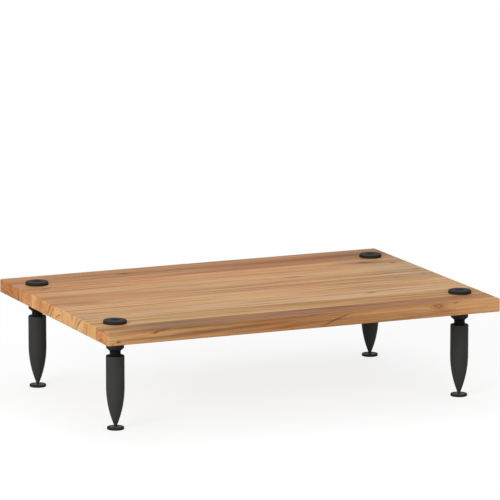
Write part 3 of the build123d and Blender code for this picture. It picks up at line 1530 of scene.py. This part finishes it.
    def key_socket(self, across_flats: float, mouth: float, depth: float) -> bpy.types.Object:
        """Makes the cutting tool for a six-sided socket that opens downwards.

        Args:
            across_flats: Size of the key.
            mouth: Height of the socket's mouth.
            depth: Depth of the socket.

        Returns:
            The tool, about the Z axis.
        """
        Bench.clear()
        bpy.ops.mesh.primitive_cylinder_add(
            vertices=6,
            radius=across_flats / math.sqrt(3),
            depth=2 * depth,
            location=(0, 0, mouth),
        )
        bpy.ops.object.transform_apply(location=True, rotation=True, scale=True)
        return bpy.context.object

    def clamp_stud(self, box: NodeBox) -> bpy.types.Object:
        """Models the headless threaded stud.

        Args:
            box: Place of the stud at one corner.

        Returns:
            The stud, about the Z axis.
        """
        stud = self.thread(box.radius, self.stud_pitch, self.stud_depth, box.bottom, box.top)
        edge = self.stud_chamfer
        reach = box.radius + TOUCH
        sleeve = Outline().to((0, box.bottom), (reach - edge, box.bottom))
        sleeve.to((reach, box.bottom + edge), (reach, box.top - edge), (reach - edge, box.top))
        sleeve.to((0, box.top))
        Bench.combine(stud, Bench.turn("sleeve", sleeve), "INTERSECT")
        socket = self.key_socket(self.stud_key, box.bottom, self.stud_key_depth)
        Bench.combine(stud, socket, "DIFFERENCE")
        return stud

    def collar(self, box: NodeBox) -> bpy.types.Object:
        """Models the collar with its rounded taper and its threaded neck.

        Args:
            box: Place of the collar at one corner.

        Returns:
            The collar, about the Z axis.
        """
        root = self.neck_radius - self.neck_depth
        shoulder = box.top - self.collar_length
        thread_top = shoulder + self.neck_run_in
        edge = self.neck_chamfer
        bar = self.thread(
            self.neck_radius, self.neck_pitch, self.neck_depth, box.bottom, thread_top
        )
        reach = self.neck_radius + TOUCH
        sleeve = Outline().to((0, box.bottom), (reach - edge, box.bottom))
        sleeve.to((reach, box.bottom + edge), (reach, thread_top + edge), (0, thread_top + edge))
        Bench.combine(bar, Bench.turn("sleeve", sleeve), "INTERSECT")
        socket = self.key_socket(self.neck_key, box.bottom, self.neck_key_depth)
        Bench.combine(bar, socket, "DIFFERENCE")

        taper_top = shoulder + self.collar_taper
        rise = box.radius - self.neck_radius
        slope = math.degrees(math.atan2(rise, self.collar_taper))
        bend = self.collar_round
        setback = bend * math.tan(math.radians(slope) / 2)
        centre = (box.radius - bend, taper_top + setback)
        core_bottom = box.bottom + self.neck_key_depth + self.neck_pitch
        core = Outline().to((0, core_bottom), (root - TOUCH, core_bottom), (root - TOUCH, shoulder))
        core.to((self.neck_radius, shoulder))
        core.arc(centre, bend, -slope, 0, self.arc_steps)
        chamfer = self.collar_chamfer
        core.to((box.radius, box.top - chamfer), (box.radius - chamfer, box.top))
        core.to((self.boss_hole_radius, box.top))
        core.to((self.boss_hole_radius, box.top - self.stud_hole_depth))
        core.to((0, box.top - self.stud_hole_depth))
        piece = Bench.turn("collar", core)
        Bench.combine(piece, bar, "UNION")
        return piece

    def leg(self, box: NodeBox) -> bpy.types.Object:
        """Models the turned leg: barrel, long nose, ball point and bore.

        Args:
            box: Place of the leg at one corner.

        Returns:
            The leg, about the Z axis.
        """
        radius, top, point = box.radius, box.top, box.bottom
        nose_top = point + self.nose_length
        ball = self.point_radius
        drop = nose_top - point - ball
        sweep = (drop**2 + radius**2 - ball**2) / (2 * (radius - ball))
        centre = (radius - sweep, nose_top)
        low_angle = math.degrees(math.atan2(-drop, -centre[0]))
        bore_floor = top - self.leg_bore_depth
        bore, shoulder = self.leg_bore_radius, self.leg_shoulder
        outline = Outline().arc((0, point + ball), ball, -90, low_angle, self.point_steps)
        outline.points.pop()
        outline.arc(centre, sweep, low_angle, 0, self.nose_steps)
        outline.to((radius, top - 2 * shoulder))
        outline.arc((radius - shoulder, top - shoulder), shoulder, 0, 90, self.arc_steps)
        outline.to((bore + self.leg_bore_chamfer, top), (bore, top - self.leg_bore_chamfer))
        outline.to((bore, bore_floor), (0, bore_floor - self.leg_bore_cone))
        return Bench.turn("leg", outline)

    def floor_disc(self, box: NodeBox) -> bpy.types.Object:
        """Models the loose disc under the leg's point.

        Args:
            box: Place of the disc at one corner.

        Returns:
            The disc, about the Z axis.
        """
        radius, top, rim = box.radius, box.top, self.floor_rim
        foot = self.floor_foot_chamfer
        outline = Outline().to((0, 0), (radius - foot, 0), (radius, foot))
        outline.arc((radius - rim, top - rim), rim, 0, 90, self.arc_steps)
        recess, level = self.floor_recess_radius, top - self.floor_recess_depth
        outline.to((recess, top), (recess - self.floor_recess_depth, level))
        dimple = self.floor_dimple_radius * (level - top + self.floor_dimple_depth)
        outline.to((dimple / self.floor_dimple_depth, level), (0, top - self.floor_dimple_depth))
        return Bench.turn("floor_disc", outline)


@dataclass(frozen=True)
class Lamp:
    """A square soft lamp that points at the stand.

    Attributes:
        name: Name of the lamp.
        place: Where it hangs.
        size: Length of its side.
        power: Its power in watts.
    """

    name: str
    place: Colour
    size: float
    power: float


@dataclass
class Studio:
    """Pale floor, soft lamps and the camera.

    Attributes:
        lamps: The soft lamps.
        floor_size: Side of the floor.
        floor_roughness: How matt the floor is.
        floor_grey: Grey that the stand gets from the floor as stray light.
        floor_white: Level of the floor as the camera and gloss see it, before its shading.
        shade_share: How much of the floor's own shading shows close to the stand.
        shade_start: Distance up to which it shows in full.
        shade_reach: Distance at which none of it shows.
        world_level: Level of the even light from all round.
        yaw: Turn of the view from +Y towards +X, in degrees.
        pitch: How far the view looks down, in degrees.
        distance: From the camera to the point it looks at.
        target: The point it looks at.
        focal_length: Lens in millimetres.
        sensor: Width of the picture behind that lens, in millimetres.
    """

    lamps: tuple[Lamp, ...] = (
        Lamp("key_lamp", (-2.9, -1.7, 1.3), 2.0, 98),
        Lamp("fill_lamp", (1.6, -2.9, 1.2), 2.0, 32),
        Lamp("top_lamp", (0.1, 0.5, 3.0), 2.4, 26),
    )
    floor_size: float = 40.0
    floor_roughness: float = 0.9
    floor_grey: Colour = MIDDLE_GREY
    floor_white: float = 0.82
    shade_share: float = 0.2
    shade_start: float = 0.3
    shade_reach: float = 1.4
    world_level: float = 0.36
    yaw: float = 23.653
    pitch: float = 10.741
    distance: float = 6.4965
    target: Colour = (0.0042, 0.0, 0.2060)
    focal_length: float = 326.8
    sensor: float = 36.0

    def build(self) -> None:
        """Adds the floor, the light and the camera."""
        self.floor()
        self.world()
        for lamp in self.lamps:
            self.hang(lamp)
        self.camera()
        bpy.context.scene.view_settings.view_transform = "Standard"

    def seen(self, sheet: Sheet) -> Socket:
        """Tells rays from the camera, and those that gloss or glass sends on, from others.

        Args:
            sheet: The node tree that asks.

        Returns:
            The socket with 1 for such a ray and else 0.
        """
        path = sheet.node("ShaderNodeLightPath").outputs
        gloss = sheet.math("MAXIMUM", path["Is Glossy Ray"], path["Is Transmission Ray"])
        return sheet.math("MAXIMUM", path["Is Camera Ray"], gloss)

    def floor(self) -> None:
        """Adds the white floor, on which the stand's shadow shows softly."""
        Bench.clear()
        bpy.ops.mesh.primitive_plane_add(size=self.floor_size)
        floor = bpy.context.object
        floor.name = "studio_floor"
        sheet, material, shader = Sheet.of_material("studio_floor")
        sheet.join(self.floor_roughness, shader.inputs["Roughness"])
        sheet.join(0.0, shader.inputs["Specular IOR Level"])
        place = sheet.node("ShaderNodeTexCoord").outputs["Object"]
        near = sheet.fit(sheet.vector("LENGTH", place), self.shade_reach, self.shade_start)
        seen = self.seen(sheet)
        shade = sheet.math("MULTIPLY", near, self.shade_share)
        share = sheet.mix(seen, self.floor_grey, sheet.mix(shade, BLACK, WHITE))
        sheet.join(share, shader.inputs["Base Color"])
        glow = sheet.math("SUBTRACT", 1.0, sheet.math("MULTIPLY", near, 1 - self.floor_white))
        sheet.join(WHITE, shader.inputs["Emission Color"])
        sheet.join(sheet.math("MULTIPLY", glow, seen), shader.inputs["Emission Strength"])
        floor.data.materials.append(material)

    def world(self) -> None:
        """Sets the even light from all round, behind a white background."""
        world = bpy.data.worlds.new("studio")
        bpy.context.scene.world = world
        world.use_nodes = True
        sheet = Sheet(world.node_tree)
        background = world.node_tree.nodes["Background"]
        sheet.join(WHITE, background.inputs["Color"])
        level = sheet.math("MULTIPLY_ADD", self.seen(sheet), 1 - self.world_level, self.world_level)
        sheet.join(level, background.inputs["Strength"])

    def hang(self, lamp: Lamp) -> None:
        """Hangs one lamp, pointed at the stand.

        Args:
            lamp: The lamp.
        """
        light = bpy.data.lights.new(lamp.name, "AREA")
        light.size = lamp.size
        light.energy = lamp.power
        hung = bpy.data.objects.new(lamp.name, light)
        bpy.context.scene.collection.objects.link(hung)
        hung.location = lamp.place
        aim = Vector(self.target) - Vector(lamp.place)
        hung.rotation_euler = aim.to_track_quat("-Z", "Y").to_euler()

    def camera(self) -> None:
        """Sets the camera at the photograph's place."""
        yaw, pitch = math.radians(self.yaw), math.radians(self.pitch)
        level = math.cos(pitch)
        forward = Vector((math.sin(yaw) * level, math.cos(yaw) * level, -math.sin(pitch)))
        data = bpy.data.cameras.new("camera")
        data.lens = self.focal_length
        data.sensor_width = self.sensor
        data.clip_end = 2 * self.floor_size
        camera = bpy.data.objects.new("camera", data)
        bpy.context.scene.collection.objects.link(camera)
        camera.location = Vector(self.target) - forward * self.distance
        camera.rotation_euler = forward.to_track_quat("-Z", "Y").to_euler()
        bpy.context.scene.camera = camera


def add_piece(piece: bpy.types.Object, body: str, slot: Slot, node: str) -> None:
    """Gives a finished piece its body and hides the node that it stands for.

    Args:
        piece: The finished piece.
        body: Name of the body it moves with.
        slot: Material slot of the record; not used.
        node: The node that it replaces.
    """
    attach(piece, body)
    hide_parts(node)
    log.info("%s rides on %s, %d faces", piece.name, body, len(piece.data.polygons))


# Base and worn colours of the turned pieces, and the colours of their zones, which paint shade or a
# highlight
LEG_BLACK = (srgb(52, 52, 51), srgb(58, 58, 56))
# The collar's black is the leg's black darkened as painted shade, for the board's shadow
COLLAR_SHADED_BLACK = (srgb(40, 40, 39), srgb(45, 45, 44))
# Both discs' blacks are the leg's black darkened as painted shade
TOP_DISC_SHADED_BLACK = (srgb(33, 31, 30), srgb(39, 37, 36))
FLOOR_DISC_SHADED_BLACK = (srgb(36, 36, 35), srgb(42, 42, 41))
DARK_STEEL = (srgb(96, 95, 93), srgb(120, 118, 114))
# Painted shade on the collar's neck and taper and on the leg's top, in the gap under the board
PAINTED_GAP_SHADE = srgb(18, 18, 18)
# Painted shade in the upper part of the top disc's dish
PAINTED_DISH_SHADE = srgb(14, 13, 13)
# Painted highlight, far lighter than the disc, on the floor disc's top round its dimple
PAINTED_RECESS_HIGHLIGHT = srgb(94, 94, 92)

# How much of the leg's top, from its axis, gets the painted shade of the gap under the collar
GAP_SHADE_SHARE = 0.95


def metal_finishes() -> dict[str, bpy.types.Material]:
    """Makes the finish of each kind of turned piece.

    Returns:
        The materials, by kind of piece.
    """
    kinds = ("top_disc", "collar", "leg", "floor_disc")
    disc, collar, leg, foot = (NodeBox.of(f"{kind}_{Corner.FRONT_LEFT.value}") for kind in kinds)
    shape = CornerHardware
    taper_top = collar.top - shape.collar_length + shape.collar_taper
    # Painted shade in the gap between collar and leg
    gap_shade = Zone(
        PAINTED_GAP_SHADE,
        GAP_SHADE_SHARE * leg.radius,
        leg.top - shape.leg_bore_depth,
        taper_top - shape.collar_chamfer,
    )
    # Painted shade in the top disc's dish
    dish = Zone(PAINTED_DISH_SHADE, shape.dish_radius, disc.top - shape.dish_depth / 2, disc.top - TOUCH)
    # Painted highlight on the floor disc's top
    recess = Zone(PAINTED_RECESS_HIGHLIGHT, shape.floor_recess_radius, shape.floor_foot_chamfer, foot.top - TOUCH)
    nowhere = Zone(PAINTED_GAP_SHADE, 0.0, 0.0, 0.0)
    marks = turning_marks()
    steel = TurnedMetal("dark_steel", marks, *DARK_STEEL, nowhere, 0.4, 1.0, 0.5, 0.01 * MM)
    finishes = {
        "top_disc": TurnedMetal("top_disc_shaded_black", marks, *TOP_DISC_SHADED_BLACK, dish),
        "clamp_stud": steel,
        "collar": TurnedMetal("collar_shaded_black", marks, *COLLAR_SHADED_BLACK, gap_shade),
        "leg": TurnedMetal("satin_black", marks, *LEG_BLACK, gap_shade),
        "floor_disc": TurnedMetal("floor_disc_shaded_black", marks, *FLOOR_DISC_SHADED_BLACK, recess),
    }
    return {kind: finish.material(leg.axis) for kind, finish in finishes.items()}


def main() -> None:
    """Builds the stand and the studio around the frame."""
    logging.basicConfig(level=logging.INFO, format="%(name)s: %(message)s")
    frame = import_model()
    log.info("frame with %d nodes", len(frame["nodes"]))

    finishes = metal_finishes()
    Board(OiledTimber(solid_timber(), timber_mark())).build()
    CornerHardware(finishes).build()
    Studio().build()


if __name__ == "__main__":
    main()
